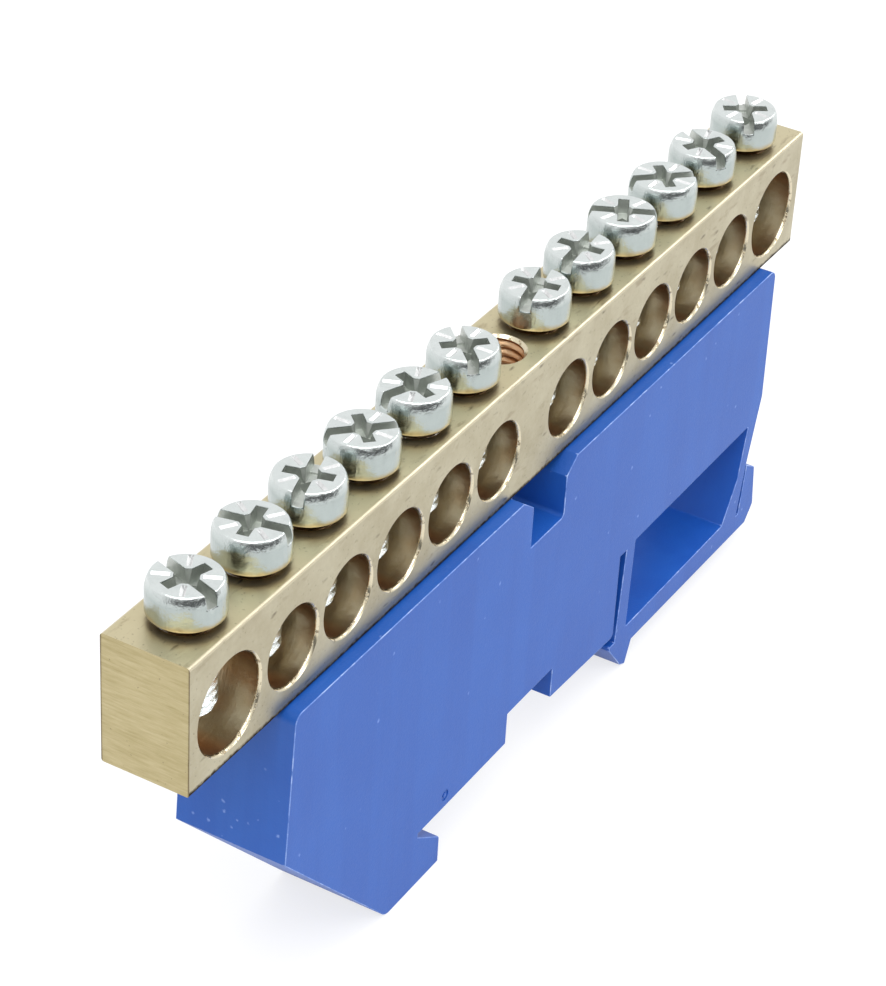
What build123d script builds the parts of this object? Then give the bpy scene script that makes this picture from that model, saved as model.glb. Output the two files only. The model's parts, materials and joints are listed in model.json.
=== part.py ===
# Neutral terminal bar: a brass bar with twelve clamp screws, held on a moulded support
# that clips on a 35 mm mounting rail. Millimetres, +Z up, +X along the bar. The origin
# is the middle of the rail, on the plane where the rail's face meets the support.
import os
from math import cos, radians, sin

from build123d import *

# Mounting rail that the support clips on
rail_width = 35.0
rail_thickness = 1.0

# Bar section and edges
bar_width = 8.0
bar_height = 12.0
bar_top_round = 0.2
bar_bottom_round = 0.25

# Wire holes across the bar: five small ones and a large one on each side of the middle
small_holes_per_side = 5
small_wire_radius = 3.45
large_wire_radius = 4.13
wire_floor = 1.97
small_web = 1.0
large_web = 1.12
end_wall = 1.22
middle_web = 0.35

# Clamp screws, with plain shanks in plain holes for the threads
terminal_thread_radius = 2.4
thread_clearance = 0.05
terminal_head_radius = 3.15
terminal_head_height = 3.1
terminal_screw_length = 8.7
head_gap = 0.5
rim_chamfer = 0.4

# Drive in each head: a slot right across and a shorter cross, deeper in the middle
slot_width = 0.95
slot_depth = 1.2
cross_length = 4.1
cross_width = 0.9
cross_depth = 2.1
cross_draft = 8.0

# How far each clamp screw was left turned, from the left end to the right, in degrees
screw_turns = [72, 102, 16, 136, 158, 45, 12, 5, 117, 134, 60, 34]

# Fixing screw under the middle of the bar, its thread drawn at the pitch radius
fixing_thread_radius = 2.2
fixing_head_radius = 3.15
fixing_head_height = 2.6
fixing_screw_length = 30.0
fixing_clearance = 0.3

# Support block, seen from the front
support_depth = 10.56
bar_seat_height = 25.8
block_left = 40.0
left_lean = 1.0
shoulder_round = 1.0
slope_height = 11.5
foot_width = 8.8
foot_drop = 5.7
foot_round = 1.6

# Fixed hook at the left edge of the rail
fixed_grip = 2.7
fixed_play = 1.1
fixed_lip_drop = 2.93
throat_drop = 0.45
hook_round = 0.25

# Right seat, which leans down to the latch
seat_lean = 0.6
seat_round = 0.5

# Latch arm and its hook at the right edge of the rail; the arm leans in towards its foot
latch_grip = 0.9
latch_play = 0.05
latch_gap = 0.55
latch_gap_height = 8.65
arm_thickness = 2.07
arm_inner_lean = 0.75
arm_outer_lean = 0.38
lip_clearance = 0.05
lip_height = 0.5
lead_width = 2.6
toe_width = 1.0
toe_rise = 0.45
heel_lean = 1.0

# Window between the latch arm, the strap below it and the right wall
window_height = 8.87
window_drop = 0.97
window_waist_height = 3.2
window_waist_step = 1.2
window_foot_step = 3.8
window_round = 0.25
strap_thickness = 2.4
strap_lean = 0.3

# Right wall, and the release tab beyond a slit in it
wall_bulge = 46.43
wall_lean = 0.43
wall_bulge_height = 11.26
wall_thickness = 2.53
wall_foot_step = 2.01
wall_foot_height = 4.03
slit_mouth = 0.25
slit_width = 0.5
slit_lean = 1.05
slit_drop = 1.6
tab_width = 2.85
tab_lean = 0.65
tab_lip_height = 2.7
tab_cut_width = 1.5
tab_cut_height = 1.55
tab_round = 0.5

# Recess for the fixing screw's head, and the notch under the bar
recess_left = 3.47
recess_right = 4.77
recess_height = 3.32
notch_left = 1.43
notch_right = 4.45
notch_depth = 5.6
notch_lead = 1.8
notch_lead_drop = 1.35
notch_round = 0.5

# Places worked out from the sizes above
rail_edge = rail_width / 2
bar_top = bar_seat_height + bar_height
tapped_radius = terminal_thread_radius + thread_clearance
middle_hole_radius = fixing_thread_radius + thread_clearance
wire_axis = bar_seat_height + wire_floor + small_wire_radius
first_hole = middle_hole_radius + middle_web + small_wire_radius
small_pitch = 2 * small_wire_radius + small_web
small_offsets = [first_hole + small_pitch * place for place in range(small_holes_per_side)]
large_offset = small_offsets[-1] + small_wire_radius + large_web + large_wire_radius
bar_length = 2 * (large_offset + large_wire_radius + end_wall)
small_holes = [side * offset for offset in small_offsets for side in (-1, 1)]
large_holes = [-large_offset, large_offset]
wire_holes = sorted(small_holes + large_holes)

os.makedirs("parts", exist_ok=True)


def round_corner(sketch, corner, radius):
    fillet(sketch.vertices().sort_by_distance(corner)[0], radius)


# A screw whose head stands on the seat plane and whose shank runs below it
def make_screw(seat, thread_radius, length, head_radius, head_height):
    with BuildPart() as screw:
        with BuildSketch(seat):
            Circle(head_radius)
        extrude(amount=head_height)
        rim = screw.edges().filter_by(GeomType.CIRCLE).sort_by(Axis(seat.origin, seat.z_dir))[-1]
        chamfer(rim, rim_chamfer)
        with BuildSketch(seat):
            Circle(thread_radius)
        extrude(amount=-length)

        # Drive: the slot, then the cross with its drafted walls
        top = seat.offset(head_height)
        with BuildSketch(top):
            Rectangle(2 * head_radius, slot_width)
        extrude(amount=-slot_depth, mode=Mode.SUBTRACT)
        with BuildPart(mode=Mode.SUBTRACT) as cross:
            with BuildSketch(top):
                Rectangle(cross_length, cross_width)
                Rectangle(cross_width, cross_length)
            extrude(amount=-cross_depth)
            draft(cross.faces().filter_by(Axis.Z, reverse=True), top, -cross_draft)
    return screw


# Brass bar
with BuildPart() as brass_bar:
    with BuildSketch(Plane.XY.offset(bar_seat_height)):
        Rectangle(bar_length, bar_width)
    extrude(amount=bar_height)
    long_edges = brass_bar.edges().filter_by(Axis.X).group_by(Axis.Z)
    fillet(long_edges[-1], bar_top_round)
    fillet(long_edges[0], bar_bottom_round)

    # Wire holes
    with BuildSketch(Plane.XZ):
        with Locations([(place, wire_axis) for place in small_holes]):
            Circle(small_wire_radius)
        with Locations([(place, wire_axis) for place in large_holes]):
            Circle(large_wire_radius)
    extrude(amount=bar_width / 2, both=True, mode=Mode.SUBTRACT)

    # Tapped holes
    with BuildSketch(Plane.XY.offset(bar_top)):
        with Locations([(place, 0) for place in wire_holes]):
            Circle(tapped_radius)
    extrude(amount=wire_axis - bar_top, mode=Mode.SUBTRACT)
    with BuildSketch(Plane.XY.offset(bar_top)):
        Circle(middle_hole_radius)
    extrude(amount=-bar_height, mode=Mode.SUBTRACT)

brass_bar.part.label = "brass_bar"
export_step(brass_bar.part, "parts/brass_bar.step")

# Clamp screws
for number, (place, turn) in enumerate(zip(wire_holes, screw_turns), start=1):
    turned = (cos(radians(turn)), sin(radians(turn)), 0)
    head_seat = Plane(origin=(place, 0, bar_top + head_gap), x_dir=turned, z_dir=(0, 0, 1))
    terminal_screw = make_screw(
        head_seat,
        terminal_thread_radius,
        terminal_screw_length,
        terminal_head_radius,
        terminal_head_height,
    )
    terminal_screw.part.label = f"terminal_screw_{number:02d}"
    export_step(terminal_screw.part, f"parts/{terminal_screw.part.label}.step")

# Fixing screw
recess_ceiling = Plane(origin=(0, 0, recess_height), x_dir=(1, 0, 0), z_dir=(0, 0, -1))
fixing_screw = make_screw(
    recess_ceiling,
    fixing_thread_radius,
    fixing_screw_length,
    fixing_head_radius,
    fixing_head_height,
)
fixing_screw.part.label = "fixing_screw"
export_step(fixing_screw.part, "parts/fixing_screw.step")

# Rail support, one moulding drawn from its front view
hook_tip = -rail_edge + fixed_grip
throat = -rail_edge - fixed_play
latch_tip = rail_edge - latch_grip
arm_inside = rail_edge + latch_play
arm_outside = arm_inside + arm_thickness
block_end = arm_inside - latch_gap
lip_top = -seat_lean - rail_thickness - lip_clearance
lip_bottom = lip_top - lip_height
lead_end = latch_tip + lead_width
toe = lead_end + toe_width
window_right = wall_bulge - wall_thickness
strap_bottom = -window_drop - strap_thickness
wall_foot = wall_bulge - wall_foot_step
tab_edge = wall_foot + tab_width
tab_bottom = strap_bottom - strap_lean
foot_left = hook_tip - foot_width
top_left = -block_left + left_lean

with BuildPart() as rail_support:
    with BuildSketch(Plane.XZ) as side:

        # Block, right wall, strap and tab as one outer shape
        with BuildLine():
            Polyline(
                (top_left, bar_seat_height),
                (wall_bulge - wall_lean, bar_seat_height),
                (wall_bulge, wall_bulge_height),
                (wall_foot, wall_foot_height),
                (tab_edge - tab_lean, tab_lip_height),
                (tab_edge, tab_bottom + tab_cut_height),
                (tab_edge - tab_cut_width, tab_bottom),
                (toe + heel_lean, strap_bottom),
                (toe, -foot_drop),
                (foot_left, -foot_drop),
                (-block_left, slope_height),
                close=True,
            )
        make_face()
        round_corner(side, (top_left, bar_seat_height), shoulder_round)
        round_corner(side, (wall_bulge - wall_lean, bar_seat_height), shoulder_round)
        round_corner(side, (foot_left, -foot_drop), foot_round)
        round_corner(side, (tab_edge - tab_lean, tab_lip_height), tab_round)
        round_corner(side, (tab_edge, tab_bottom + tab_cut_height), tab_round)

        # Space for the rail, its two hooks and the gap behind the latch
        with BuildSketch(mode=Mode.SUBTRACT) as rail_space:
            with BuildLine():
                Polyline(
                    (hook_tip, -2 * foot_drop),
                    (hook_tip, -fixed_lip_drop),
                    (throat, -throat_drop),
                    (throat, 0),
                    (recess_right, 0),
                    (block_end, -seat_lean),
                    (block_end, latch_gap_height),
                    (arm_inside + arm_inner_lean, latch_gap_height),
                    (arm_inside, lip_top),
                    (latch_tip, lip_top),
                    (latch_tip, lip_bottom),
                    (lead_end, toe_rise - foot_drop),
                    (toe, -foot_drop),
                    (toe, -2 * foot_drop),
                    close=True,
                )
            make_face()
            round_corner(rail_space, (block_end, -seat_lean), seat_round)
            round_corner(rail_space, (hook_tip, -fixed_lip_drop), hook_round)
            round_corner(rail_space, (latch_tip, lip_bottom), hook_round / 2)
            round_corner(rail_space, (latch_tip, lip_top), hook_round / 2)

        # Window
        with BuildSketch(mode=Mode.SUBTRACT) as window:
            with BuildLine():
                Polyline(
                    (arm_outside + arm_outer_lean, window_height),
                    (window_right, window_height),
                    (window_right - window_waist_step, window_waist_height),
                    (window_right - window_foot_step, -window_drop),
                    (arm_outside, -window_drop),
                    close=True,
                )
            make_face()
            fillet(window.vertices(), window_round)

        # Slit between the right wall and the release tab
        with BuildLine():
            Polyline(
                (wall_foot, wall_foot_height),
                (wall_foot + slit_mouth, wall_foot_height),
                (wall_foot - slit_lean + slit_width, -slit_drop),
                (wall_foot - slit_lean, -slit_drop),
                close=True,
            )
        make_face(mode=Mode.SUBTRACT)

        # Recess for the fixing screw's head
        with BuildLine():
            Polyline(
                (-recess_left, 0),
                (-recess_left, recess_height),
                (recess_right, recess_height),
                (recess_right, 0),
                close=True,
            )
        make_face(mode=Mode.SUBTRACT)

        # Notch under the bar, with its mouth opened out
        notch_floor = bar_seat_height - notch_depth
        notch_shoulder = bar_seat_height - notch_lead_drop
        with BuildSketch(mode=Mode.SUBTRACT) as notch:
            with BuildLine():
                Polyline(
                    (-notch_left - notch_lead, bar_seat_height),
                    (-notch_left, notch_shoulder),
                    (-notch_left, notch_floor),
                    (notch_right, notch_floor),
                    (notch_right, notch_shoulder),
                    (notch_right + notch_lead, bar_seat_height),
                    close=True,
                )
            make_face()
            round_corner(notch, (notch_right, notch_floor), notch_round)
    extrude(amount=support_depth / 2, both=True)

    # Way through for the fixing screw
    with BuildSketch(recess_ceiling):
        Circle(fixing_thread_radius + fixing_clearance)
    extrude(amount=recess_height - bar_seat_height, mode=Mode.SUBTRACT)

rail_support.part.label = "rail_support"
export_step(rail_support.part, "parts/rail_support.step")
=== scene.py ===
import json
import math

import bmesh
import bpy
from mathutils import Matrix, Vector


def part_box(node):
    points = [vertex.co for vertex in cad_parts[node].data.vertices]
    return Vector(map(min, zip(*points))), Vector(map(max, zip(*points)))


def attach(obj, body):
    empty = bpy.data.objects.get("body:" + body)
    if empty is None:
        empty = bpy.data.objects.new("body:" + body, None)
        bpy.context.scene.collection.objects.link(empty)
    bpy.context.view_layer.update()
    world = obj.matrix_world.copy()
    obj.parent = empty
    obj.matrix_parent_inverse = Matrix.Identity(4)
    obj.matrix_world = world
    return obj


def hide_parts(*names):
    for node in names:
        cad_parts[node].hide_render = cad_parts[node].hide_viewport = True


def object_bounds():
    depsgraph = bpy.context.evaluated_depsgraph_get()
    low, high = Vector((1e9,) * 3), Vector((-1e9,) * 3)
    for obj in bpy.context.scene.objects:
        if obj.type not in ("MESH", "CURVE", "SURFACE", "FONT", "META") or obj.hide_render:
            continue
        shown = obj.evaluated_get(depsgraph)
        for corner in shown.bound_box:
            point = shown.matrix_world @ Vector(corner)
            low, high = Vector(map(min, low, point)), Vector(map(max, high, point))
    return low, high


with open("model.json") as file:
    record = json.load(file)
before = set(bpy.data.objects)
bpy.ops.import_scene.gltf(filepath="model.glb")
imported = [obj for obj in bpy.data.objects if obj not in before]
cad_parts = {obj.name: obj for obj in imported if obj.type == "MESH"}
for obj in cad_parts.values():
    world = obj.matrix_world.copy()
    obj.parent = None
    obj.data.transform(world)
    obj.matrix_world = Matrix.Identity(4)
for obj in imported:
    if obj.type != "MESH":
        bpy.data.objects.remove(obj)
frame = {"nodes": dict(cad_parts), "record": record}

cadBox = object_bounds()
millimetre = 0.001


# Shapes are built in millimetres in the row frame and made metres at the end
def newObject(name, verts, faces):
    mesh = bpy.data.meshes.new(name)
    mesh.from_pydata(verts, [], faces)
    mesh.validate()
    obj = bpy.data.objects.new(name, mesh)
    bpy.context.scene.collection.objects.link(obj)
    return obj


def applyModifiers(obj):
    graph = bpy.context.evaluated_depsgraph_get()
    mesh = bpy.data.meshes.new_from_object(obj.evaluated_get(graph))
    old = obj.data
    obj.modifiers.clear()
    obj.data = mesh
    bpy.data.meshes.remove(old)
    return obj


def cutAway(obj, cutter, operation="DIFFERENCE"):
    cut = obj.modifiers.new("cut", "BOOLEAN")
    cut.solver = "EXACT"
    cut.operation = operation
    cut.object = cutter
    bpy.context.view_layer.update()
    applyModifiers(obj)
    bpy.data.objects.remove(cutter)
    return obj


def joined(name, pieces):
    bm = bmesh.new()
    for piece in pieces:
        bm.from_mesh(piece.data)
        bpy.data.objects.remove(piece)
    mesh = bpy.data.meshes.new(name)
    bm.to_mesh(mesh)
    bm.free()
    obj = bpy.data.objects.new(name, mesh)
    bpy.context.scene.collection.objects.link(obj)
    return obj


# A closed solid turned about the Z axis from its outline of (radius, height), poles included
def turned(name, outline, segments):
    verts, rings = [], []
    for radius, height in outline:
        if radius < 1e-9:
            rings.append([len(verts)])
            verts.append((0, 0, height))
            continue
        ring = []
        for k in range(segments):
            angle = 2 * math.pi * k / segments
            ring.append(len(verts))
            verts.append((radius * math.cos(angle), radius * math.sin(angle), height))
        rings.append(ring)
    faces = []
    for low, high in zip(rings, rings[1:]):
        for k in range(segments):
            a, b = k, (k + 1) % segments
            if len(low) == 1:
                faces.append((low[0], high[b], high[a]))
            elif len(high) == 1:
                faces.append((low[a], low[b], high[0]))
            else:
                faces.append((low[a], low[b], high[b], high[a]))
    return newObject(name, verts, faces)


def hull(name, points):
    bm = bmesh.new()
    for point in points:
        bm.verts.new(point)
    bmesh.ops.convex_hull(bm, input=bm.verts)
    mesh = bpy.data.meshes.new(name)
    bm.to_mesh(mesh)
    bm.free()
    obj = bpy.data.objects.new(name, mesh)
    bpy.context.scene.collection.objects.link(obj)
    return obj


# A bar of rectangular section along X that narrows downwards, for drive recesses
def taperedBlock(name, length, width, floorLength, floorWidth, top, floor, turn=0.0):
    points = []
    for reach, across, height in ((length, width, top), (floorLength, floorWidth, floor)):
        for sx in (-1, 1):
            for sy in (-1, 1):
                points.append(Vector((sx * reach / 2, sy * across / 2, height)))
    spin = Matrix.Rotation(turn, 3, "Z")
    return hull(name, [spin @ point for point in points])


# Joins faces that lie in one plane, so that they shade as one, and corners that are very close
def mergeFlat(obj, angle, closeEnough):
    bm = bmesh.new()
    bm.from_mesh(obj.data)
    bmesh.ops.dissolve_limit(bm, angle_limit=math.radians(angle), verts=bm.verts, edges=bm.edges)
    bmesh.ops.remove_doubles(bm, verts=bm.verts, dist=closeEnough)
    bm.to_mesh(obj.data)
    bm.free()


def softShade(obj, angle):
    for face in obj.data.polygons:
        face.use_smooth = True
    obj.data.set_sharp_from_angle(angle=math.radians(angle))
    weighted = obj.modifiers.new("weighted", "WEIGHTED_NORMAL")
    weighted.keep_sharp = True
    weighted.weight = 60
    applyModifiers(obj)


def toMetres(obj, place=Matrix.Identity(4)):
    obj.data.transform(Matrix.Scale(millimetre, 4) @ place)
    return obj


# Material helpers
def startMaterial(name):
    material = bpy.data.materials.new(name)
    material.use_nodes = True
    tree = material.node_tree
    tree.nodes.clear()
    output = tree.nodes.new("ShaderNodeOutputMaterial")
    shader = tree.nodes.new("ShaderNodeBsdfPrincipled")
    tree.links.new(shader.outputs["BSDF"], output.inputs["Surface"])
    return material, tree, shader


def feed(tree, node, values):
    for key, value in values.items():
        if isinstance(value, bpy.types.NodeSocket):
            tree.links.new(value, node.inputs[key])
        else:
            node.inputs[key].default_value = value


def addNode(tree, kind, values=None, **settings):
    node = tree.nodes.new(kind)
    for key, value in settings.items():
        setattr(node, key, value)
    feed(tree, node, values or {})
    return node


def maths(tree, operation, a, b=0.0, c=0.0, clamp=False):
    node = addNode(tree, "ShaderNodeMath", {0: a, 1: b, 2: c}, operation=operation, use_clamp=clamp)
    return node.outputs[0]


def vectorMaths(tree, operation, a, b, c=(0, 0, 0)):
    return addNode(tree, "ShaderNodeVectorMath", {0: a, 1: b, 2: c}, operation=operation)


def blendColour(tree, share, a, b, mode="MIX"):
    node = addNode(tree, "ShaderNodeMix", None, data_type="RGBA", blend_type=mode)
    feed(tree, node, {0: share, 6: a, 7: b})
    return node.outputs[2]


def stretched(tree, value, low, high, outLow=0.0, outHigh=1.0):
    node = addNode(tree, "ShaderNodeMapRange", {0: value, 1: low, 2: high, 3: outLow, 4: outHigh})
    return node.outputs[0]


def startGroup(name, inputs, outputs):
    group = bpy.data.node_groups.new(name, "ShaderNodeTree")
    for label, kind, value in inputs:
        socket = group.interface.new_socket(label, in_out="INPUT", socket_type=kind)
        if value is not None:
            socket.default_value = value
    for label, kind in outputs:
        group.interface.new_socket(label, in_out="OUTPUT", socket_type=kind)
    return group, group.nodes.new("NodeGroupInput"), group.nodes.new("NodeGroupOutput")


def useGroup(tree, group, values):
    node = tree.nodes.new("ShaderNodeGroup")
    node.node_tree = group
    feed(tree, node, values)
    return node


# Place on the object in millimetres, for every pattern
def makePlaceGroup():
    group, start, end = startGroup(
        "placeMm",
        [("Stretch", "NodeSocketVector", (1, 1, 1))],
        [("Vector", "NodeSocketVector")],
    )
    place = addNode(group, "ShaderNodeTexCoord")
    scaled = vectorMaths(group, "MULTIPLY", place.outputs["Object"], (1000, 1000, 1000))
    drawn = vectorMaths(group, "MULTIPLY", scaled.outputs[0], start.outputs[0])
    group.links.new(drawn.outputs[0], end.inputs[0])
    return group


# Uneven tone: soft clouds with a finer layer in them, from 0 to 1
def makeMottleGroup():
    group, start, end = startGroup(
        "mottle",
        [
            ("Vector", "NodeSocketVector", None), ("Scale", "NodeSocketFloat", 0.3),
            ("Low", "NodeSocketFloat", 0.35), ("High", "NodeSocketFloat", 0.65),
        ],
        [("Mask", "NodeSocketFloat")],
    )
    cloud = addNode(
        group, "ShaderNodeTexNoise",
        {"Vector": start.outputs[0], "Scale": start.outputs[1], "Detail": 6.0, "Roughness": 0.6},
    )
    mask = stretched(group, cloud.outputs[0], start.outputs[2], start.outputs[3])
    group.links.new(mask, end.inputs[0])
    return group


# Scattered small marks: a share of the cells each hold one round mark
def makeSpeckGroup():
    group, start, end = startGroup(
        "specks",
        [
            ("Vector", "NodeSocketVector", None), ("Scale", "NodeSocketFloat", 1.0),
            ("Size", "NodeSocketFloat", 0.15), ("Share", "NodeSocketFloat", 0.3),
        ],
        [("Mask", "NodeSocketFloat")],
    )
    wobble = addNode(group, "ShaderNodeTexNoise", {"Vector": start.outputs[0], "Scale": 3.0, "Detail": 2.0})
    bent = vectorMaths(group, "MULTIPLY_ADD", wobble.outputs["Color"], (0.35, 0.35, 0.35), start.outputs[0])
    cells = addNode(group, "ShaderNodeTexVoronoi", {"Vector": bent.outputs[0], "Scale": start.outputs[1]})
    inside = stretched(group, cells.outputs["Distance"], start.outputs[2], 0.0)
    colour = addNode(group, "ShaderNodeSeparateColor", {0: cells.outputs["Color"]})
    chosen = maths(group, "LESS_THAN", colour.outputs[0], start.outputs[3])
    mask = maths(group, "MULTIPLY", inside, chosen)
    group.links.new(mask, end.inputs[0])
    return group


# Fine lines along one direction, drawn out by the stretch of the vector
def makeLineGroup():
    group, start, end = startGroup(
        "fineLines",
        [
            ("Vector", "NodeSocketVector", None), ("Scale", "NodeSocketFloat", 1.0),
            ("Detail", "NodeSocketFloat", 4.0),
        ],
        [("Value", "NodeSocketFloat")],
    )
    lines = addNode(
        group, "ShaderNodeTexNoise",
        {"Vector": start.outputs[0], "Scale": start.outputs[1], "Detail": start.outputs[2], "Roughness": 0.7},
    )
    group.links.new(lines.outputs[0], end.inputs[0])
    return group


placeMm = makePlaceGroup()
mottle = makeMottleGroup()
specks = makeSpeckGroup()
fineLines = makeLineGroup()
print("shared groups made")

# Brass bar
bar = {
    "smallRadius": 3.45,
    "largeRadius": 4.13,
    "mouthBevel": 0.25,
    "tappedRadius": 2.45,
    "middleRadius": 2.2,
    "middleMouth": 2.5,
    "middleBevel": 0.28,
    "threadDepth": 0.22,
    "threadPitch": 0.8,
    "topRound": 0.3,
    "bottomRound": 0.25,
    "holeSegments": 96,
    "tapSegments": 48,
    "middleSegments": 64,
    "tappedBevel": 0.15,
    "cutterPast": 0.6,
    # height of the painted shade at the foot of the bar
    "contactShadeHeight": 0.36,
    "burrWidth": 0.14,
    "drawnRough": 0.29,
    "sawnRough": 0.32,
    "drilledRough": 0.26,
    "mouthRough": 0.24,
    "copperSide": (0.5, 0, 0.85),
    "drawnColour": (0.52, 0.475, 0.336, 1),
    "drawnDark": (0.37, 0.317, 0.202, 1),
    # bright cut-mouth colour, also the painted highlight on the upper edges
    "mouthAndEdgeHighlightColour": (0.704, 0.634, 0.466, 1),
    # painted light on the upper face
    "topLightColour": (0.69, 0.61, 0.39, 1),
    "stainColour": (0.24, 0.17, 0.09, 1),
    "sawnColour": (0.576, 0.497, 0.295, 1),
    "sawnDark": (0.387, 0.317, 0.15, 1),
    "drilledColour": (0.51, 0.44, 0.31, 1),
    "drilledDark": (0.425, 0.333, 0.208, 1),
    "copperColour": (0.65, 0.345, 0.178, 1),
    "speckColour": (0.10, 0.07, 0.04, 1),
    # painted shade in the crevice under the bar
    "contactShadeColour": (0.035, 0.025, 0.02, 1),
}


def makeDrawnBrass(low, high):
    material, tree, shader = startMaterial("drawnBrass")
    long = useGroup(tree, placeMm, {"Stretch": (0.06, 1.0, 1.0)})
    short = useGroup(tree, placeMm, {"Stretch": (0.35, 1.0, 1.0)})
    plain = useGroup(tree, placeMm, {"Stretch": (1.0, 1.0, 1.0)})
    streaks = useGroup(tree, fineLines, {"Vector": long.outputs[0], "Scale": 5.0, "Detail": 5.0})
    clouds = useGroup(tree, mottle, {"Vector": plain.outputs[0], "Scale": 0.22, "Low": 0.38, "High": 0.72})
    grains = useGroup(tree, mottle, {"Vector": plain.outputs[0], "Scale": 2.2, "Low": 0.35, "High": 0.75})
    pits = useGroup(tree, specks, {"Vector": short.outputs[0], "Scale": 1.2, "Size": 0.24, "Share": 0.4})
    dust = useGroup(tree, specks, {"Vector": plain.outputs[0], "Scale": 2.8, "Size": 0.30, "Share": 0.3})
    stains = useGroup(tree, mottle, {"Vector": short.outputs[0], "Scale": 0.7, "Low": 0.60, "High": 0.70})
    tone = maths(tree, "MULTIPLY", clouds.outputs[0], 0.55)
    tone = maths(tree, "MULTIPLY_ADD", grains.outputs[0], 0.22, tone)
    colour = blendColour(tree, tone, bar["drawnColour"], bar["drawnDark"])

    # Painted light: the upper face is lit brighter and yellower than the sides
    place = addNode(tree, "ShaderNodeSeparateXYZ", {0: plain.outputs[0]})
    height, corner = place.outputs[2], high.z + high.y
    paintedTopLight = stretched(tree, height, high.z - 0.06, high.z - 0.02, 0.0, 0.7)
    colour = blendColour(tree, paintedTopLight, colour, bar["topLightColour"])
    colour = blendColour(tree, maths(tree, "MULTIPLY", stains.outputs[0], 0.45), colour, bar["stainColour"])
    marks = maths(tree, "MULTIPLY_ADD", dust.outputs[0], 0.6, pits.outputs[0], clamp=True)
    colour = blendColour(tree, maths(tree, "MULTIPLY", marks, 0.8), colour, bar["speckColour"])

    # Painted highlight along the two upper edges, in the colour of the cut mouths
    reach = maths(tree, "ADD", maths(tree, "ABSOLUTE", place.outputs[1]), height)
    reach = maths(tree, "MULTIPLY_ADD", grains.outputs[0], 0.05, reach)
    paintedEdgeHighlight = stretched(tree, reach, corner - 0.28, corner - 0.2, 0.0, 0.85)
    colour = blendColour(tree, paintedEdgeHighlight, colour, bar["mouthAndEdgeHighlightColour"])

    # Painted shade along the foot of the bar, in the crevice where it meets the support; the same band is
    # rougher
    ragged = maths(tree, "MULTIPLY_ADD", grains.outputs[0], 0.25, height)
    paintedContactShade = stretched(tree, ragged, low.z + bar["contactShadeHeight"] + 0.3, low.z + bar["contactShadeHeight"])
    colour = blendColour(tree, paintedContactShade, colour, bar["contactShadeColour"])
    rough = maths(tree, "MULTIPLY_ADD", clouds.outputs[0], 0.10, bar["drawnRough"])
    rough = maths(tree, "MULTIPLY_ADD", streaks.outputs[0], 0.08, rough)
    rough = maths(tree, "MULTIPLY_ADD", paintedContactShade, 0.4, rough)
    relief = maths(tree, "MULTIPLY_ADD", grains.outputs[0], 0.35, streaks.outputs[0])
    relief = maths(tree, "MULTIPLY_ADD", marks, -0.8, relief)
    bump = addNode(tree, "ShaderNodeBump", {"Strength": 0.4, "Distance": 0.00004, "Height": relief})
    feed(tree, shader, {"Base Color": colour, "Metallic": 1.0, "Roughness": rough, "Normal": bump.outputs[0]})
    return material


def makeSawnBrass(high):
    material, tree, shader = startMaterial("sawnBrass")
    # Saw marks run across the end of the bar, a little askew
    place = addNode(tree, "ShaderNodeTexCoord")
    turnedPlace = addNode(
        tree,
        "ShaderNodeMapping",
        {"Vector": place.outputs["Object"], "Rotation": (math.radians(8), 0, 0), "Scale": (1000, 90, 1000)},
    )
    lines = useGroup(tree, fineLines, {"Vector": turnedPlace.outputs[0], "Scale": 4.2, "Detail": 6.0})
    coarse = useGroup(tree, fineLines, {"Vector": turnedPlace.outputs[0], "Scale": 1.1, "Detail": 2.0})
    plain = useGroup(tree, placeMm, {"Stretch": (1.0, 1.0, 1.0)})
    clouds = useGroup(tree, mottle, {"Vector": plain.outputs[0], "Scale": 0.3, "Low": 0.35, "High": 0.7})
    nicks = useGroup(tree, specks, {"Vector": plain.outputs[0], "Scale": 1.3, "Size": 0.10, "Share": 0.25})
    tone = maths(tree, "MULTIPLY", stretched(tree, lines.outputs[0], 0.35, 0.7), 0.6)
    tone = maths(tree, "MULTIPLY_ADD", stretched(tree, coarse.outputs[0], 0.4, 0.65), 0.18, tone)
    tone = maths(tree, "MULTIPLY_ADD", clouds.outputs[0], 0.15, tone)
    colour = blendColour(tree, tone, bar["sawnColour"], bar["sawnDark"])

    # Turned-over burr, dark along the two upright edges
    across = addNode(tree, "ShaderNodeSeparateXYZ", {0: plain.outputs[0]}).outputs[1]
    reach = maths(tree, "MULTIPLY_ADD", clouds.outputs[0], 0.05, maths(tree, "ABSOLUTE", across))
    burr = stretched(tree, reach, high.y - bar["burrWidth"], high.y - 0.02)
    marks = maths(tree, "MULTIPLY_ADD", nicks.outputs[0], 0.7, maths(tree, "MULTIPLY", burr, 0.8), clamp=True)
    colour = blendColour(tree, marks, colour, bar["speckColour"])
    height = maths(tree, "MULTIPLY_ADD", coarse.outputs[0], 0.9, lines.outputs[0])
    bump = addNode(tree, "ShaderNodeBump", {"Strength": 0.6, "Distance": 0.00008, "Height": height})
    rough = maths(tree, "MULTIPLY_ADD", lines.outputs[0], 0.15, bar["sawnRough"])
    feed(tree, shader, {"Base Color": colour, "Metallic": 1.0, "Roughness": rough, "Normal": bump.outputs[0]})
    return material


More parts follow.
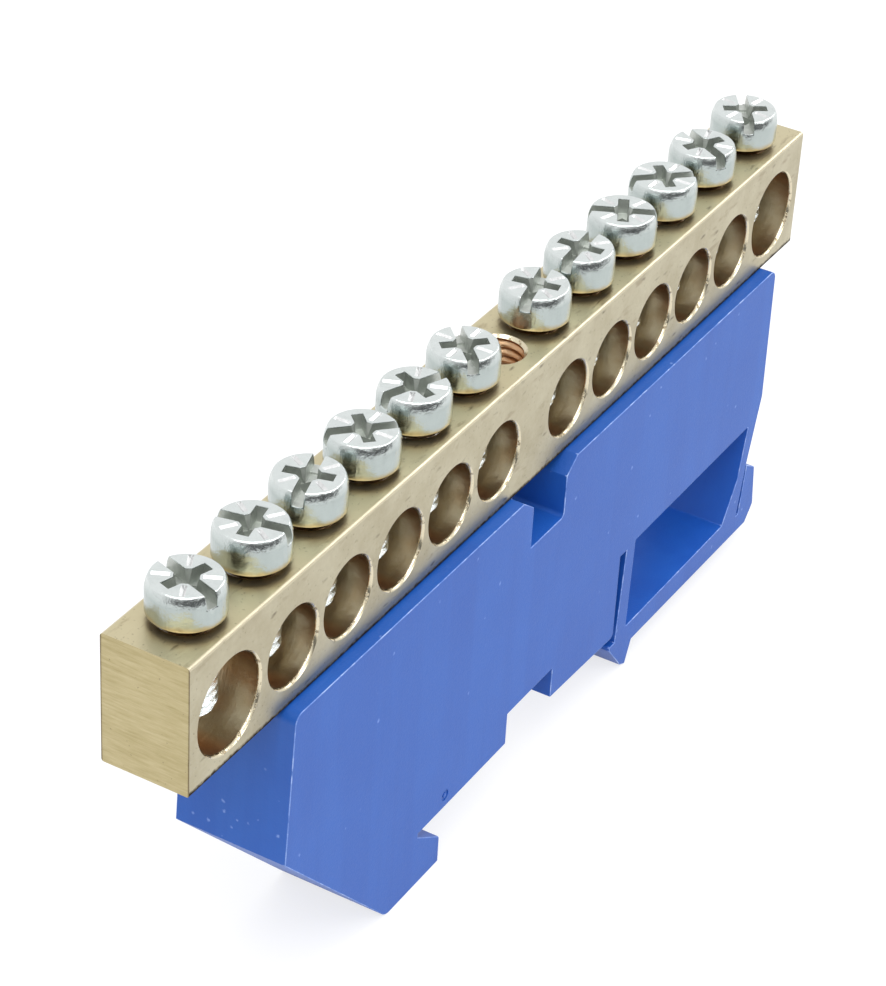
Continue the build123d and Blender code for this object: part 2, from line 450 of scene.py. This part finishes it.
# Drilled walls: satin, with a copper tinge high on one side and low on the other
def makeDrilledBrass(name, copperShare):
    material, tree, shader = startMaterial(name)
    rings = useGroup(tree, placeMm, {"Stretch": (0.08, 1.0, 0.08)})
    plain = useGroup(tree, placeMm, {"Stretch": (1.0, 1.0, 1.0)})
    turns = useGroup(tree, fineLines, {"Vector": rings.outputs[0], "Scale": 2.5, "Detail": 4.0})
    clouds = useGroup(tree, mottle, {"Vector": plain.outputs[0], "Scale": 0.45, "Low": 0.35, "High": 0.7})
    colour = blendColour(tree, clouds.outputs[0], bar["drilledColour"], bar["drilledDark"])
    facing = addNode(tree, "ShaderNodeTexCoord").outputs["Normal"]
    lean = vectorMaths(tree, "DOT_PRODUCT", facing, bar["copperSide"]).outputs["Value"]
    tinge = stretched(tree, maths(tree, "ABSOLUTE", lean), 0.74, 0.98, copperShare, 0.8)
    colour = blendColour(tree, tinge, colour, bar["copperColour"])
    height = maths(tree, "MULTIPLY_ADD", clouds.outputs[0], 1.5, turns.outputs[0])
    bump = addNode(tree, "ShaderNodeBump", {"Strength": 0.35, "Distance": 0.00006, "Height": height})
    rough = maths(tree, "MULTIPLY_ADD", turns.outputs[0], 0.10, bar["drilledRough"])
    feed(tree, shader, {"Base Color": colour, "Metallic": 1.0, "Roughness": rough, "Normal": bump.outputs[0]})
    return material


# Cut mouths of the holes: bright, with dark nicks in them
def makeMouthBrass():
    material, tree, shader = startMaterial("mouthBrass")
    plain = useGroup(tree, placeMm, {"Stretch": (1.0, 1.0, 1.0)})
    nicks = useGroup(tree, mottle, {"Vector": plain.outputs[0], "Scale": 1.6, "Low": 0.56, "High": 0.64})
    nicked = maths(tree, "MULTIPLY", nicks.outputs[0], 0.7)
    colour = blendColour(tree, nicked, bar["mouthAndEdgeHighlightColour"], bar["stainColour"])
    bump = addNode(tree, "ShaderNodeBump", {"Strength": 0.5, "Distance": 0.00006, "Height": nicks.outputs[0]})
    rough = bar["mouthRough"]
    feed(tree, shader, {"Base Color": colour, "Metallic": 1.0, "Roughness": rough, "Normal": bump.outputs[0]})
    return material


# Threaded rod with closed ends: the radius follows a helix about Z, and the foot is chamfered
def threadedRod(name, root, crest, pitch, low, high, chamfer, segments=48, rows=10):
    count = int(round((high - low) / pitch * rows))
    rise = chamfer * 1.1
    verts, faces = [], []
    for row in range(count + 1):
        height = low + (high - low) * row / count
        limit = min(crest, crest - chamfer + (height - low) / rise * chamfer) if chamfer else crest
        for k in range(segments):
            angle = 2 * math.pi * k / segments
            turn = (height / pitch - angle / (2 * math.pi)) % 1.0
            tooth = 1 - min(1.0, max(0.0, abs(2 * turn - 1) * 1.25 - 0.12))
            radius = min(root + (crest - root) * tooth, limit)
            verts.append((radius * math.cos(angle), radius * math.sin(angle), height))
    for row in range(count):
        for k in range(segments):
            a, b = row * segments + k, row * segments + (k + 1) % segments
            faces.append((a, b, b + segments, a + segments))
    faces.append(tuple(reversed(range(segments))))
    faces.append(tuple(range(count * segments, (count + 1) * segments)))
    return newObject(name, verts, faces)


def makeBar():
    low, high = [corner * 1000 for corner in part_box("brass_bar")]
    mounts = {m["name"]: m["pos_m"] for m in frame["record"]["mounts"]}
    wireNames = sorted(name for name in mounts if name.startswith("wire_hole"))
    wirePlaces = [[value * 1000 for value in mounts[name]] for name in wireNames]
    halfWidth = high.y

    # Section with rounded long edges
    section = []
    corners = (
        (low.y, low.z, bar["bottomRound"], math.pi),
        (high.y, low.z, bar["bottomRound"], 1.5 * math.pi),
        (high.y, high.z, bar["topRound"], 0),
        (low.y, high.z, bar["topRound"], 0.5 * math.pi),
    )
    for y, z, radius, begin in corners:
        centreY = y + radius if y < 0 else y - radius
        centreZ = z + radius if z == low.z else z - radius
        for step in range(7):
            angle = begin + 0.5 * math.pi * step / 6
            section.append((centreY + radius * math.cos(angle), centreZ + radius * math.sin(angle)))
    count = len(section)
    verts = [(x, y, z) for x in (low.x, high.x) for y, z in section]
    faces = [tuple(reversed(range(count))), tuple(range(count, 2 * count))]
    faces += [(k, (k + 1) % count, count + (k + 1) % count, count + k) for k in range(count)]
    body = newObject("brassBar", verts, faces)

    # Wire holes with mouths that curve open in two steps
    bevel, past = bar["mouthBevel"], bar["cutterPast"]
    lipOut, lipDeep, lipEnd = bevel * 0.45, halfWidth - bevel * 0.35, halfWidth - bevel * 1.2
    cutters = []
    for number, (x, _, z) in enumerate(wirePlaces, start=1):
        radius = bar["largeRadius"] if number in (1, len(wirePlaces)) else bar["smallRadius"]
        flare = radius + bevel + past
        outline = [
            (0, -halfWidth - past), (flare, -halfWidth - past),
            (radius + lipOut, -lipDeep), (radius, -lipEnd), (radius, lipEnd), (radius + lipOut, lipDeep),
            (flare, halfWidth + past), (0, halfWidth + past),
        ]
        cutter = turned("wireCutter", outline, bar["holeSegments"])
        cutter.data.transform(Matrix.Translation((x, 0, z)) @ Matrix.Rotation(math.radians(90), 4, "X"))
        cutters.append(cutter)
    cutAway(body, joined("wireCutters", cutters))

    # Tapped holes over the wire holes
    cutters = []
    radius, flare, top = bar["tappedRadius"], bar["tappedBevel"], high.z + past
    for x, _, z in wirePlaces:
        outline = [(0, z), (radius, z), (radius, high.z - flare), (radius + flare + past, top), (0, top)]
        cutter = turned("tapCutter", outline, bar["tapSegments"])
        cutter.data.transform(Matrix.Translation((x, 0, 0)))
        cutters.append(cutter)
    cutAway(body, joined("tapCutters", cutters))

    # Middle hole with a cut thread and a bevelled mouth
    groove = bar["middleRadius"] + bar["threadDepth"]
    rod = threadedRod(
        "middleCutter", bar["middleRadius"], groove, bar["threadPitch"], low.z - past, high.z + past, 0,
    )
    cutAway(body, rod)
    mouth, flare = bar["middleMouth"], bar["middleBevel"]
    outline = [(0, high.z - flare), (mouth - flare, high.z - flare), (mouth + past, top), (0, top)]
    cutAway(body, turned("mouthCutter", outline, bar["middleSegments"]))

    # Finishes: 0 drawn sides, 1 sawn ends, 2 wire holes, 3 middle hole, 4 cut mouths
    skin, edge = bar["mouthBevel"] * 1.2, max(bar["bottomRound"], bar["topRound"]) + 0.02
    for face in body.data.polygons:
        centre, normal = face.center, face.normal
        onEnd = abs(normal.x) > 0.99 and min(abs(centre.x - low.x), abs(centre.x - high.x)) < 0.01
        onSkin = halfWidth - abs(centre.y) < 0.01 or min(centre.z - low.z, high.z - centre.z) < 0.01
        onEdge = abs(normal.x) < 0.01 and halfWidth - abs(centre.y) < edge
        onEdge = onEdge and min(centre.z - low.z, high.z - centre.z) < edge
        onMouth = halfWidth - abs(centre.y) < skin or high.z - centre.z < bar["middleBevel"]
        inMiddle = math.hypot(centre.x, centre.y) < groove + 0.05
        if onEnd:
            face.material_index = 1
        elif onSkin or onEdge:
            face.material_index = 0
        else:
            face.material_index = 4 if onMouth else 3 if inMiddle else 2
    toMetres(body)
    finishes = (
        makeDrawnBrass(low, high), makeSawnBrass(high),
        makeDrilledBrass("drilledBrass", 0.0), makeDrilledBrass("tappedBrass", 0.6), makeMouthBrass(),
    )
    for material in finishes:
        body.data.materials.append(material)
    softShade(body, 32)
    return body


brassBar = makeBar()
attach(brassBar, "bar_on_support")
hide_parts("brass_bar")
print("brass bar made")

# Screws
screw = {
    "headRadius": 3.15,
    "headHeight": 3.1,
    "headGap": 0.5,
    "crownBend": 2.6,
    "crownAngle": 25,
    "rimRound": 0.2,
    "footRadius": 2.98,
    "footHeight": 0.3,
    "seatRelief": 0.02,
    "threadRoot": 2.02,
    "threadCrest": 2.44,
    "threadPitch": 0.8,
    "slotWidth": 1.0,
    "slotDepth": 1.2,
    "crossLength": 4.2,
    "crossWidth": 1.0,
    "crossDepth": 1.35,
    "coreReach": 0.95,
    "coreDepth": 2.1,
    "tickInside": 1.25,
    "tickOutside": 2.65,
    "tickWidth": 0.44,
    "tickDepth": 0.15,
    "tickFoot": 0.04,
    "driveStart": 0.6,
    "shankInHead": 0.4,
    "tipChamfer": 0.4,
    "cutterPast": 0.3,
    "edgeBreak": 0.09,
    "turns": (72, 102, 16, 136, 158, 45, 12, 5, 117, 134, 60, 34),
    "plateRough": 0.15,
    "recessRough": 0.42,
    "tickRough": 0.25,
    "zincColour": (0.739, 0.783, 0.774, 1),
    "zincDark": (0.563, 0.607, 0.598, 1),
    # painted shade on the upright sides of the head
    "sideShadeColour": (0.62, 0.65, 0.64, 1),
    # painted reflection of the brass bar on the head
    "brassReflectionColour": (0.458, 0.37, 0.211, 1),
    # painted shade under the head
    "underHeadShadeColour": (0.15, 0.10, 0.055, 1),
    "recessShadeColour": (0.616, 0.642, 0.607, 1),
    "tickHighlightColour": (0.836, 0.845, 0.845, 1),
}


def makeZinc(footLevel):
    material, tree, shader = startMaterial("zincPlate")
    plain = useGroup(tree, placeMm, {"Stretch": (1.0, 1.0, 1.0)})
    upright = useGroup(tree, placeMm, {"Stretch": (1.0, 1.0, 0.12)})
    clouds = useGroup(tree, mottle, {"Vector": plain.outputs[0], "Scale": 0.7, "Low": 0.35, "High": 0.7})
    drawn = useGroup(tree, mottle, {"Vector": upright.outputs[0], "Scale": 1.3, "Low": 0.45, "High": 0.75})
    marks = useGroup(tree, specks, {"Vector": plain.outputs[0], "Scale": 1.6, "Size": 0.12, "Share": 0.2})
    tone = maths(tree, "MULTIPLY", clouds.outputs[0], 0.25)
    tone = maths(tree, "MULTIPLY_ADD", drawn.outputs[0], 0.25, tone)
    tone = maths(tree, "MULTIPLY_ADD", marks.outputs[0], 0.3, tone)
    colour = blendColour(tree, tone, screw["zincColour"], screw["zincDark"])

    # Painted shade on the upright sides; a painted reflection of the brass bar low on the head, then painted
    # shade under the head
    facing = addNode(tree, "ShaderNodeTexCoord").outputs["Normal"]
    upward = addNode(tree, "ShaderNodeSeparateXYZ", {0: facing}).outputs[2]
    onSide = stretched(tree, maths(tree, "ABSOLUTE", upward), 0.5, 0.1)
    level = addNode(tree, "ShaderNodeSeparateXYZ", {0: plain.outputs[0]}).outputs[2]
    level = maths(tree, "SUBTRACT", level, footLevel)
    onHead = maths(tree, "GREATER_THAN", level, -0.05)
    paintedSideShade = maths(tree, "MULTIPLY", onSide, onHead)
    colour = blendColour(tree, paintedSideShade, colour, screw["sideShadeColour"], "MULTIPLY")
    # painted reflection of the brass bar on the lower part of the head
    wavy = maths(tree, "MULTIPLY_ADD", clouds.outputs[0], 0.3, level)
    paintedBrassReflection = maths(tree, "MULTIPLY", stretched(tree, wavy, 0.75, 0.35, 0.0, 0.8), onHead)
    colour = blendColour(tree, paintedBrassReflection, colour, screw["brassReflectionColour"])
    # painted shade in the gap under the head and on the thread there
    paintedUnderHeadShade = stretched(tree, maths(tree, "ABSOLUTE", maths(tree, "ADD", level, 0.36)), 0.5, 0.4)
    colour = blendColour(tree, paintedUnderHeadShade, colour, screw["underHeadShadeColour"])
    rough = maths(tree, "MULTIPLY_ADD", clouds.outputs[0], 0.06, screw["plateRough"])
    height = maths(tree, "MULTIPLY_ADD", drawn.outputs[0], 0.6, clouds.outputs[0])
    height = maths(tree, "MULTIPLY_ADD", marks.outputs[0], -0.3, height)
    bump = addNode(tree, "ShaderNodeBump", {"Strength": 0.45, "Distance": 0.00009, "Height": height})
    feed(tree, shader, {"Base Color": colour, "Metallic": 1.0, "Roughness": rough, "Normal": bump.outputs[0]})
    return material


def makePlainZinc(name, colour, rough):
    material, tree, shader = startMaterial(name)
    plain = useGroup(tree, placeMm, {"Stretch": (1.0, 1.0, 1.0)})
    clouds = useGroup(tree, mottle, {"Vector": plain.outputs[0], "Scale": 1.5, "Low": 0.35, "High": 0.7})
    shade = tuple(channel * 0.8 for channel in colour[:3]) + (1,)
    mixed = blendColour(tree, clouds.outputs[0], colour, shade)
    feed(tree, shader, {"Base Color": mixed, "Metallic": 1.0, "Roughness": rough})
    return material


# On the diagonals of the drive, where the shallow ticks are pressed
def onTick(point):
    along = (abs(point.x) + abs(point.y)) / math.sqrt(2)
    off = abs(abs(point.x) - abs(point.y)) / math.sqrt(2)
    margin = 0.02
    onLine = screw["tickInside"] - margin < along < screw["tickOutside"] + margin
    return onLine and off < screw["tickWidth"] / 2 + margin


# Breaks the sharp edges at the top of the drive and at the ends of the slot, but not those of the ticks
def breakEdges(head):
    bm = bmesh.new()
    bm.from_mesh(head.data)
    driveStart, closeEnough, sharpAngle = screw["driveStart"], 0.02, math.radians(42)
    upper = [vert for vert in bm.verts if vert.co.z > driveStart]
    flat = [edge for edge in bm.edges if min(vert.co.z for vert in edge.verts) > driveStart]
    bmesh.ops.dissolve_limit(bm, angle_limit=math.radians(0.5), verts=upper, edges=flat)
    upper = [vert for vert in bm.verts if vert.co.z > driveStart]
    bmesh.ops.remove_doubles(bm, verts=upper, dist=closeEnough)
    sharp = []
    for edge in bm.edges:
        low = min(vert.co.z for vert in edge.verts)
        reach = min(math.hypot(vert.co.x, vert.co.y) for vert in edge.verts)
        atTop = low > screw["headHeight"] - 0.1
        atSlotEnd = low > driveStart and reach > screw["headRadius"] - 0.5
        if not (atTop or atSlotEnd) or edge.calc_face_angle(0) <= sharpAngle:
            continue
        if not all(onTick(vert.co) for vert in edge.verts):
            sharp.append(edge)
    bmesh.ops.bevel(
        bm, geom=sharp, offset=screw["edgeBreak"], offset_type="OFFSET", segments=2, profile=0.5,
        affect="EDGES", clamp_overlap=False,
    )
    bm.to_mesh(head.data)
    bm.free()


# Screw with its drive, underside of the head at z = 0: the sides are crowned, as a cold-formed head's are
def makeScrewMesh(length):
    radius, foot, footHeight = screw["headRadius"], screw["footRadius"], screw["footHeight"]
    headHeight, bend, rim = screw["headHeight"], screw["crownBend"], screw["rimRound"]
    crownEnd = math.radians(screw["crownAngle"])
    lowest = screw["seatRelief"]
    outline = [(0, lowest)]
    for step in range(7):
        angle = 0.5 * math.pi * step / 6
        height = lowest + (footHeight - lowest) * (1 - math.cos(angle))
        outline.append((foot + (radius - foot) * math.sin(angle), height))
    crownTop = headHeight - rim * (1 - math.sin(crownEnd))
    crownStart = crownTop - bend * math.sin(crownEnd)
    for step in range(8):
        angle = crownEnd * step / 7
        outline.append((radius - bend * (1 - math.cos(angle)), crownStart + bend * math.sin(angle)))
    rimCentre = outline[-1][0] - rim * math.cos(crownEnd)
    for step in range(1, 6):
        angle = crownEnd + (0.5 * math.pi - crownEnd) * step / 5
        outline.append((rimCentre + rim * math.cos(angle), headHeight - rim + rim * math.sin(angle)))
    outline.append((0, headHeight))
    head = turned("head", outline, 96)
    shank = threadedRod(
        "shank", screw["threadRoot"], screw["threadCrest"], screw["threadPitch"],
        -length, screw["shankInHead"], screw["tipChamfer"],
    )
    cutAway(head, shank, "UNION")

    # Slot, cross and the deeper core between them
    top = headHeight + screw["cutterPast"]
    slotFloor = headHeight - screw["slotDepth"]
    slotWidth, crossWidth, crossLength = screw["slotWidth"], screw["crossWidth"], screw["crossLength"]
    across = 2.4 * radius
    cutAway(head, taperedBlock("slot", across, slotWidth, across, slotWidth * 0.9, top, slotFloor))
    crossFloor = headHeight - screw["crossDepth"]
    for turn in (0, math.pi / 2):
        floorSize = (crossLength * 0.9, crossWidth * 0.85)
        cutAway(head, taperedBlock("arm", crossLength, crossWidth, *floorSize, top, crossFloor, turn))
    side = 2 * screw["coreReach"]
    coreFloor = headHeight - screw["coreDepth"]
    wide, narrow = side * 1.1, side * 0.5
    cutAway(head, taperedBlock("core", wide, wide, narrow, narrow, top, coreFloor, math.pi / 4))

    # Four shallow ticks between the arms, of V section
    inside, outside, width = screw["tickInside"], screw["tickOutside"], screw["tickWidth"]
    tickFloor = headHeight - screw["tickDepth"]
    top = headHeight + 2 * screw["tickDepth"]
    middle, span = (inside + outside) / 2, outside - inside
    for quarter in range(4):
        turn = math.pi / 4 + quarter * math.pi / 2
        tick = taperedBlock("tick", span, 3 * width, span, screw["tickFoot"], top, tickFloor, turn)
        tick.data.transform(Matrix.Translation((middle * math.cos(turn), middle * math.sin(turn), 0)))
        cutAway(head, tick)
    breakEdges(head)

    # Finishes: 0 plated outside, 1 walls of the drive, darker as painted shade, 2 walls of the ticks,
    # brighter as a painted highlight
    for face in head.data.polygons:
        reach = math.hypot(face.center.x, face.center.y)
        inDrive = screw["driveStart"] < face.center.z < headHeight - 0.12 and reach < radius - 0.45
        inTick = tickFloor - 0.01 < face.center.z < headHeight - 0.02 and onTick(face.center)
        face.material_index = 2 if inTick else 1 if inDrive else 0
    return head


def makeScrews():
    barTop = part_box("brass_bar")[1].z * 1000
    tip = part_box("terminal_screw_01")[0].z * 1000
    headLevel = barTop + screw["headGap"]
    zinc = makeZinc(headLevel)
    finishes = (
        zinc,
        # the drive walls are painted darker as shade, the tick walls brighter as a highlight
        makePlainZinc("zincRecess", screw["recessShadeColour"], screw["recessRough"]),
        makePlainZinc("zincTick", screw["tickHighlightColour"], screw["tickRough"]),
    )
    pattern = makeScrewMesh(headLevel - tip)
    for number, turn in enumerate(screw["turns"], start=1):
        node = f"terminal_screw_{number:02d}"
        low, high = [corner * 1000 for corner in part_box(node)]
        piece = pattern.copy()
        piece.data = pattern.data.copy()
        piece.name = f"clampScrew{number:02d}"
        bpy.context.scene.collection.objects.link(piece)
        place = Matrix.Translation(((low.x + high.x) / 2, 0, headLevel))
        toMetres(piece, place @ Matrix.Rotation(math.radians(turn), 4, "Z"))
        for material in finishes:
            piece.data.materials.append(material)
        softShade(piece, 32)
        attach(piece, f"clamp_screw_{number:02d}")
        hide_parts(node)
    bpy.data.objects.remove(pattern)

    # The fixing screw keeps its own solid and takes the plating
    fixing = frame["nodes"]["fixing_screw"]
    fixing.data.materials.clear()
    fixing.data.materials.append(zinc)


makeScrews()
print("screws made")

# Rail support
support = {
    "edgeRound": 0.14,
    "closeEnough": 0.13,
    "ringPlace": (-14.2, 1.3),
    "ringInside": 0.25,
    "ringOutside": 0.55,
    "ringDepth": 0.1,
    "plasticRough": 0.42,
    "frontColour": (0.014, 0.112, 0.49, 1),
    "deepColour": (0.010, 0.092, 0.44, 1),
    "paleColour": (0.30, 0.45, 0.85, 1),
    # pale moulding flash, also a painted edge highlight
    "flashAndHighlightColour": (0.20, 0.33, 0.76, 1),
    "burrColour": (0.42, 0.56, 0.90, 1),
}


# The flat faces hold few marks; the edges of the front and the back carry a ragged pale flash that is partly
# a painted edge highlight
def makeBluePlastic(name, flashAndHighlightShare, leftFace, halfWidth):
    material, tree, shader = startMaterial(name)
    plain = useGroup(tree, placeMm, {"Stretch": (1.0, 1.0, 1.0)})
    upright = useGroup(tree, placeMm, {"Stretch": (1.0, 1.0, 0.05)})
    clouds = useGroup(tree, mottle, {"Vector": plain.outputs[0], "Scale": 0.12, "Low": 0.3, "High": 0.7})
    bands = useGroup(tree, mottle, {"Vector": upright.outputs[0], "Scale": 0.16, "Low": 0.45, "High": 0.55})
    grains = useGroup(tree, mottle, {"Vector": plain.outputs[0], "Scale": 4.0, "Low": 0.3, "High": 0.7})
    scuffs = useGroup(tree, specks, {"Vector": plain.outputs[0], "Scale": 0.45, "Size": 0.1, "Share": 0.35})
    chips = useGroup(tree, specks, {"Vector": plain.outputs[0], "Scale": 0.9, "Size": 0.19, "Share": 0.45})
    flashAndHighlight = useGroup(tree, mottle, {"Vector": plain.outputs[0], "Scale": 1.2, "Low": 0.2, "High": 0.6})
    burrs = useGroup(tree, mottle, {"Vector": plain.outputs[0], "Scale": 0.9, "Low": 0.52, "High": 0.60})
    tone = maths(tree, "MULTIPLY_ADD", bands.outputs[0], 0.4, maths(tree, "MULTIPLY", clouds.outputs[0], 0.6))
    colour = blendColour(tree, tone, support["frontColour"], support["deepColour"])
    colour = blendColour(tree, maths(tree, "MULTIPLY", scuffs.outputs[0], 0.6), colour, support["paleColour"])
    place = addNode(tree, "ShaderNodeSeparateXYZ", {0: plain.outputs[0]})
    leftward = place.outputs[0]
    onLeft = stretched(tree, leftward, leftFace + 0.5, leftFace + 0.2)
    chipped = maths(tree, "MULTIPLY", chips.outputs[0], onLeft)
    colour = blendColour(tree, maths(tree, "MULTIPLY", chipped, 0.8), colour, support["paleColour"])
    outward = maths(tree, "ABSOLUTE", place.outputs[1])
    # paler along the front and back edges: moulding flash and painted edge highlight
    onRim = stretched(tree, outward, halfWidth - 0.3, halfWidth - 0.15, 0.0, flashAndHighlightShare)
    pale = maths(tree, "MULTIPLY", flashAndHighlight.outputs[0], onRim)
    colour = blendColour(tree, pale, colour, support["flashAndHighlightColour"])
    burr = maths(tree, "MULTIPLY", burrs.outputs[0], maths(tree, "MULTIPLY", onRim, 0.7))
    colour = blendColour(tree, burr, colour, support["burrColour"])
    rough = maths(tree, "MULTIPLY_ADD", grains.outputs[0], 0.06, support["plasticRough"])
    height = maths(tree, "MULTIPLY_ADD", clouds.outputs[0], 2.0, grains.outputs[0])
    height = maths(tree, "MULTIPLY_ADD", pale, 3.0, height)
    bump = addNode(tree, "ShaderNodeBump", {"Strength": 0.2, "Distance": 0.00005, "Height": height})
    feed(tree, shader, {"Base Color": colour, "Roughness": rough, "IOR": 1.45, "Normal": bump.outputs[0]})
    return material


def makeSupport():
    node = frame["nodes"]["rail_support"]
    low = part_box("rail_support")[0] * 1000
    mesh = node.data.copy()
    mesh.materials.clear()
    bm = bmesh.new()
    bm.from_mesh(mesh)
    bmesh.ops.scale(bm, vec=(1000, 1000, 1000), verts=bm.verts)
    bmesh.ops.remove_doubles(bm, verts=bm.verts, dist=0.001)
    bm.to_mesh(mesh)
    bm.free()
    obj = bpy.data.objects.new("railSupport", mesh)
    bpy.context.scene.collection.objects.link(obj)
    mergeFlat(obj, 1, support["closeEnough"])
    for name, share in (("bluePlastic", 0.0), ("blueEdge", 1.0)):
        obj.data.materials.append(makeBluePlastic(name, share, low.x, -low.y))
    edges = obj.modifiers.new("edges", "BEVEL")
    edges.width = support["edgeRound"]
    edges.material = 1
    edges.segments = 3
    edges.limit_method = "ANGLE"
    edges.angle_limit = math.radians(30)
    applyModifiers(obj)

    # Ring left by an ejector pin on the front
    x, z = support["ringPlace"]
    near, far, deep = support["ringInside"], support["ringOutside"], support["ringDepth"]
    ring = turned("ring", [(near, -deep), (far, -deep), (far, deep), (near, deep), (near, -deep)], 32)
    ring.data.transform(Matrix.Translation((x, low.y, z)) @ Matrix.Rotation(math.radians(90), 4, "X"))
    cutAway(obj, ring)
    toMetres(obj)
    softShade(obj, 40)
    return obj


railSupport = makeSupport()
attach(railSupport, "bar_on_support")
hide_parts("rail_support")
print("support made")

# Studio
studio = {
    "focalPixels": 3195.1,
    "imageWidth": 886,
    "cameraPlace": (-0.20452, -0.10823, 0.17772),
    "right": (0.51096452, -0.85817681, 0.04947546),
    "down": (-0.45754296, -0.32024739, -0.82951555),
    "forward": (0.7277154, 0.40121587, -0.55628781),
    "sensorWidth": 36.0,
    "floorDrop": 0.00002,
    "floorGlow": 0.75,
    "floorColour": (0.8, 0.8, 0.8, 1),
    "seenFloor": (0.3, 0.3, 0.3, 1),
    "roomFloor": (0.06, 0.06, 0.065, 1),
    "floorSize": 3.0,
    "tentLow": 0.75,
    "tentHigh": 0.95,
    "roomSide": (-0.55, -0.83, 0),
    "roomDark": 0.12,
    "sweepEnd": 0.24,
    "lampAim": (0, 0, 0.02),
    "lamps": (
        ("topLamp", (-0.2, -0.08, 0.46), 0.42, 1.4),
        ("frontLamp", (0.1, -0.5, 0.35), 0.3, 0.7),
        ("rightLamp", (0.42, -0.17, 0.34), 0.22, 0.4),
    ),
}


def makeCamera():
    data = bpy.data.cameras.new("photoCamera")
    data.sensor_fit = "HORIZONTAL"
    data.sensor_width = studio["sensorWidth"]
    data.lens = studio["focalPixels"] / studio["imageWidth"] * studio["sensorWidth"]
    data.clip_start = 0.01
    camera = bpy.data.objects.new("photoCamera", data)
    right, down, forward = (Vector(studio[name]) for name in ("right", "down", "forward"))
    turn = Matrix((right, -down, -forward)).transposed().to_4x4()
    camera.matrix_world = Matrix.Translation(studio["cameraPlace"]) @ turn
    bpy.context.scene.collection.objects.link(camera)
    bpy.context.scene.camera = camera


# The camera, metal and glass all see the white background; the second value is for the camera alone
def seenRays(tree):
    path = addNode(tree, "ShaderNodeLightPath")
    seen = maths(tree, "MAXIMUM", path.outputs["Is Camera Ray"], path.outputs["Is Glossy Ray"])
    seen = maths(tree, "MAXIMUM", seen, path.outputs["Is Transmission Ray"])
    return seen, path.outputs["Is Camera Ray"]


def makeFloor():
    lowest = cadBox[0][2] - studio["floorDrop"]
    size = studio["floorSize"]
    corners = [(x * size, y * size, lowest) for x, y in ((-1, -1), (1, -1), (1, 1), (-1, 1))]
    floor = newObject("floor", corners, [(0, 1, 2, 3)])
    material = bpy.data.materials.new("paleFloor")
    material.use_nodes = True
    tree = material.node_tree
    tree.nodes.clear()
    output = addNode(tree, "ShaderNodeOutputMaterial")
    place = addNode(tree, "ShaderNodeTexCoord")
    away = vectorMaths(tree, "DOT_PRODUCT", place.outputs["Object"], studio["roomSide"])
    beyond = stretched(tree, away.outputs["Value"], studio["sweepEnd"], studio["sweepEnd"] + 0.08)
    seen, direct = seenRays(tree)
    room = maths(tree, "MULTIPLY", beyond, maths(tree, "SUBTRACT", 1.0, direct))
    shade = blendColour(tree, seen, studio["floorColour"], studio["seenFloor"])
    shade = blendColour(tree, room, shade, studio["roomFloor"])
    paint = addNode(tree, "ShaderNodeBsdfDiffuse", {"Color": shade})
    shown = maths(tree, "MULTIPLY", seen, maths(tree, "SUBTRACT", 1.0, room))
    shown = maths(tree, "MULTIPLY", shown, studio["floorGlow"])
    glow = addNode(tree, "ShaderNodeEmission", {"Color": (1, 1, 1, 1), "Strength": shown})
    both = addNode(tree, "ShaderNodeAddShader", {0: paint.outputs[0], 1: glow.outputs[0]})
    tree.links.new(both.outputs[0], output.inputs["Surface"])
    floor.data.materials.append(material)


# A white tent all round; metal also shows the dark room, low down on the photographer's side
def makeWorld():
    world = bpy.data.worlds.new("studioWorld")
    bpy.context.scene.world = world
    world.use_nodes = True
    tree = world.node_tree
    tree.nodes.clear()
    output = addNode(tree, "ShaderNodeOutputWorld")
    seen, direct = seenRays(tree)
    place = addNode(tree, "ShaderNodeTexCoord")
    height = addNode(tree, "ShaderNodeSeparateXYZ", {0: place.outputs["Generated"]}).outputs[2]
    tent = stretched(tree, height, 0.0, 0.8, studio["tentLow"], studio["tentHigh"])
    towards = vectorMaths(tree, "DOT_PRODUCT", place.outputs["Generated"], studio["roomSide"])
    near = stretched(tree, towards.outputs["Value"], 0.1, 0.7)
    low = stretched(tree, height, 0.42, 0.20)
    room = maths(tree, "MULTIPLY", near, low)
    keep = maths(tree, "MULTIPLY_ADD", room, studio["roomDark"] - 1, 1.0)
    light = maths(tree, "MULTIPLY", tent, keep)
    soft = addNode(tree, "ShaderNodeBackground", {"Color": (1, 1, 1, 1), "Strength": light})
    shown = maths(tree, "MAXIMUM", direct, keep)
    white = addNode(tree, "ShaderNodeBackground", {"Color": (1, 1, 1, 1), "Strength": shown})
    mixed = addNode(tree, "ShaderNodeMixShader", {0: seen, 1: soft.outputs[0], 2: white.outputs[0]})
    tree.links.new(mixed.outputs[0], output.inputs["Surface"])


def makeLamps():
    for name, place, size, power in studio["lamps"]:
        data = bpy.data.lights.new(name, "AREA")
        data.shape = "SQUARE"
        data.size = size
        data.energy = power
        lamp = bpy.data.objects.new(name, data)
        lamp.location = place
        aim = Vector(studio["lampAim"]) - Vector(place)
        lamp.rotation_euler = aim.to_track_quat("-Z", "Y").to_euler()
        bpy.context.scene.collection.objects.link(lamp)


makeCamera()
makeFloor()
makeWorld()
makeLamps()
bpy.context.scene.view_settings.view_transform = "Standard"
print("studio made")
